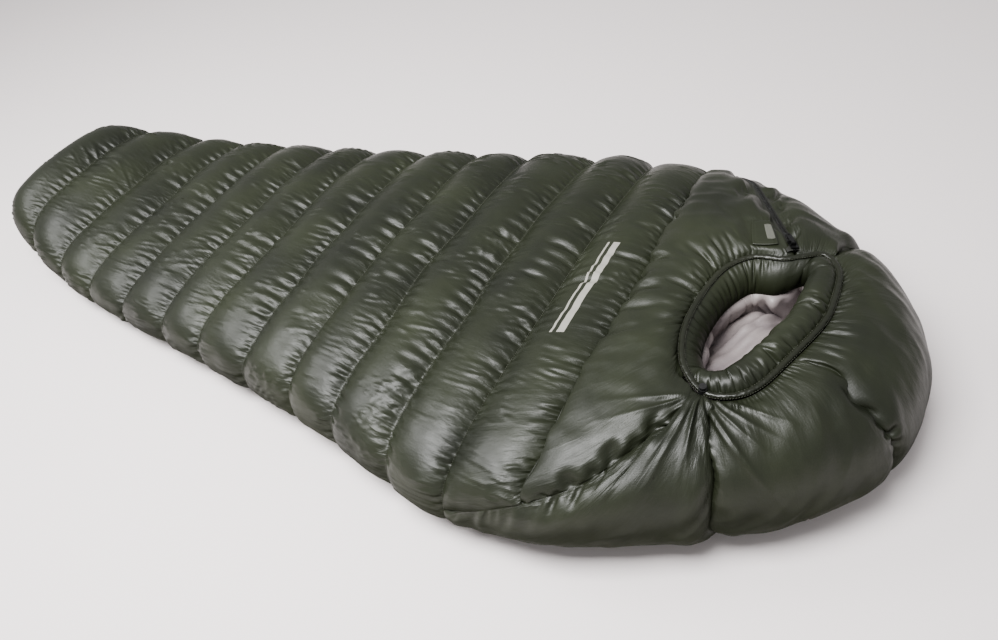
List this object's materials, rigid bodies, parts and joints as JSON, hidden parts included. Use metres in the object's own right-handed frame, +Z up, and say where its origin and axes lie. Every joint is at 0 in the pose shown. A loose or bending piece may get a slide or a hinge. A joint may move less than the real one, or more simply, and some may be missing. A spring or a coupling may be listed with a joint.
{
  "type": "mummy sleeping bag",
  "caption": "Down-filled mummy sleeping bag with transverse baffled chambers, a drawcord hood with a padded face opening and a side zip with two sliders.",
  "frame": {"origin": "on the ground, under the middle of the bag's box", "axes": "+X from the foot end to the crown of the hood, +Y towards the zip side (the sleeper's right), +Z up"},
  "size_m": [2.1, 0.8844, 0.2498],
  "materials": {
    "shell_nylon": "glossy light ripstop nylon",
    "liner_fabric": "soft matt taffeta",
    "baffle_mesh": "fine mesh",
    "cord": "braided",
    "lock_plastic": "moulded",
    "spring_steel": "drawn wire",
    "zip_tape": "woven",
    "zip_teeth": "coil",
    "slider_metal": "gloss enamel",
    "pull_tab": "moulded"
  },
  "bodies": {
    "bag": {"foot_end_panel": "shell_nylon", "top_chamber_01": "shell_nylon", "top_chamber_02": "shell_nylon", "top_chamber_03": "shell_nylon", "top_chamber_04": "shell_nylon", "top_chamber_05": "shell_nylon", "top_chamber_06": "shell_nylon", "top_chamber_07": "shell_nylon", "top_chamber_08": "shell_nylon", "top_chamber_09": "shell_nylon", "top_chamber_10": "shell_nylon", "top_chamber_11": "shell_nylon", "top_chamber_12": "shell_nylon", "top_chamber_13": "shell_nylon", "back_chamber_01": "shell_nylon", "back_chamber_02": "shell_nylon", "back_chamber_03": "shell_nylon", "back_chamber_04": "shell_nylon", "back_chamber_05": "shell_nylon", "back_chamber_06": "shell_nylon", "back_chamber_07": "shell_nylon", "back_chamber_08": "shell_nylon", "back_chamber_09": "shell_nylon", "back_chamber_10": "shell_nylon", "back_chamber_11": "shell_nylon", "back_chamber_12": "shell_nylon", "back_chamber_13": "shell_nylon", "left_side_baffle": "shell_nylon", "right_side_baffle": "shell_nylon", "right_shoulder_baffle": "shell_nylon", "right_draft_tube": "shell_nylon", "top_baffle_walls": "baffle_mesh", "back_baffle_walls": "baffle_mesh", "hood_left_cheek": "shell_nylon", "hood_left_crown": "shell_nylon", "hood_right_crown": "shell_nylon", "hood_right_cheek": "shell_nylon", "hood_back_panel": "shell_nylon", "face_muff": "shell_nylon", "draft_collar": "shell_nylon", "rim_channel": "shell_nylon", "drawcord": "cord", "cord_lock_body": "lock_plastic", "cord_lock_spring": "spring_steel", "liner_top": "liner_fabric", "liner_back": "liner_fabric", "hood_liner": "liner_fabric", "zip_tape_top": "zip_tape", "zip_tape_back": "zip_tape", "zip_coil_top": "zip_teeth", "zip_coil_back": "zip_teeth", "zip_end_stops": "slider_metal"},
    "upper_slider": {"zip_slider_upper": "slider_metal"},
    "upper_tab": {"pull_tab_upper": "pull_tab"},
    "lower_slider": {"zip_slider_lower": "slider_metal"},
    "lower_tab": {"pull_tab_lower": "pull_tab"},
    "lock_button": {"cord_lock_button": "lock_plastic"},
    "guard_flap": {"zip_guard_flap": "shell_nylon"}
  },
  "joints": [
    {"name": "upper_slider_slide", "type": "slide", "parent": "bag", "child": "upper_slider", "axis": [-0.544, 0.8252, -0.1521], "range_m": [0, 0.18]},
    {"name": "upper_tab_hinge", "type": "hinge", "parent": "upper_slider", "child": "upper_tab", "pos_m": [0.80385, 0.16021, 0.24692], "axis": [0.8367, 0.5197, -0.1727], "range_deg": [0, 160]},
    {"name": "lower_slider_slide", "type": "slide", "parent": "bag", "child": "lower_slider", "axis": [0.9917, 0.1273, 0.0196], "range_m": [0, 0.78]},
    {"name": "lower_tab_hinge", "type": "hinge", "parent": "lower_slider", "child": "lower_tab", "pos_m": [-0.69885, 0.28138, 0.07024], "axis": [-0.0194, -0.0025, 0.9998], "range_deg": [0, 160]},
    {"name": "lock_press", "type": "slide", "parent": "bag", "child": "lock_button", "axis": [0, 0, -1], "range_m": [0, 0.0025], "stiffness_N_per_m": 300, "springref_m": -0.002, "deforming": ["cord_lock_spring"]},
    {"name": "flap_hinge", "type": "hinge", "parent": "bag", "child": "guard_flap", "pos_m": [0.732, 0.167, 0.245], "axis": [0.3162, -0.9487, 0], "range_deg": [0, 150]}
  ]
}
